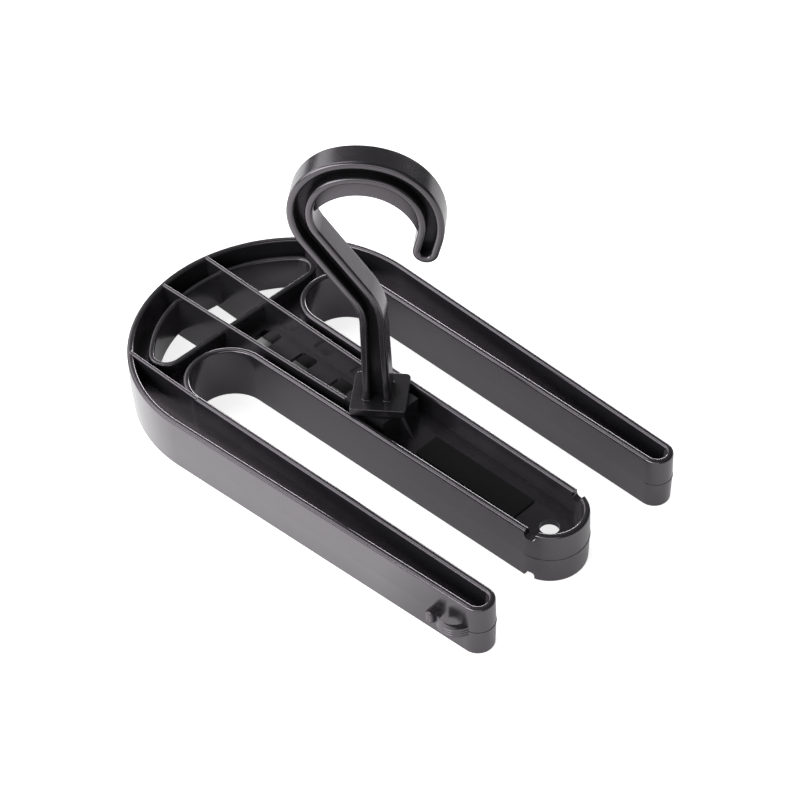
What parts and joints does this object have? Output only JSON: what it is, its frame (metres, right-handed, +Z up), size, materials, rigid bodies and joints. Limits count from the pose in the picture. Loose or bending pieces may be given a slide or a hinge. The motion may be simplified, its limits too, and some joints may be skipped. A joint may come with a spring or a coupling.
{
  "type": "drysuit hanger",
  "caption": "Flat moulded hanger with an arched head, two boot slots between three arms, and an upright swivelling hook for hanging a drysuit by its boots.",
  "frame": {"origin": "centre of the frame's footprint, on the plane that its lower rims rest on", "axes": "+X along the arms towards their tips, +Y across the arms, +Z up along the hook's swivel axis"},
  "size_m": [0.3852, 0.2244, 0.2472],
  "materials": {
    "moulding": "satin black, fine moulded grain",
    "label": "smooth gloss black",
    "fastener": "plain stainless steel"
  },
  "bodies": {
    "frame": {"frame_moulding": "moulding", "label_plate": "label"},
    "hook": {"hook_moulding": "moulding", "hook_washer": "fastener", "hook_screw": "fastener"}
  },
  "joints": [
    {"name": "hook_swivel", "type": "hinge", "parent": "frame", "child": "hook", "pos_m": [0.0119, 0, 0.042], "axis": [0, 0, 1], "continuous": true}
  ]
}
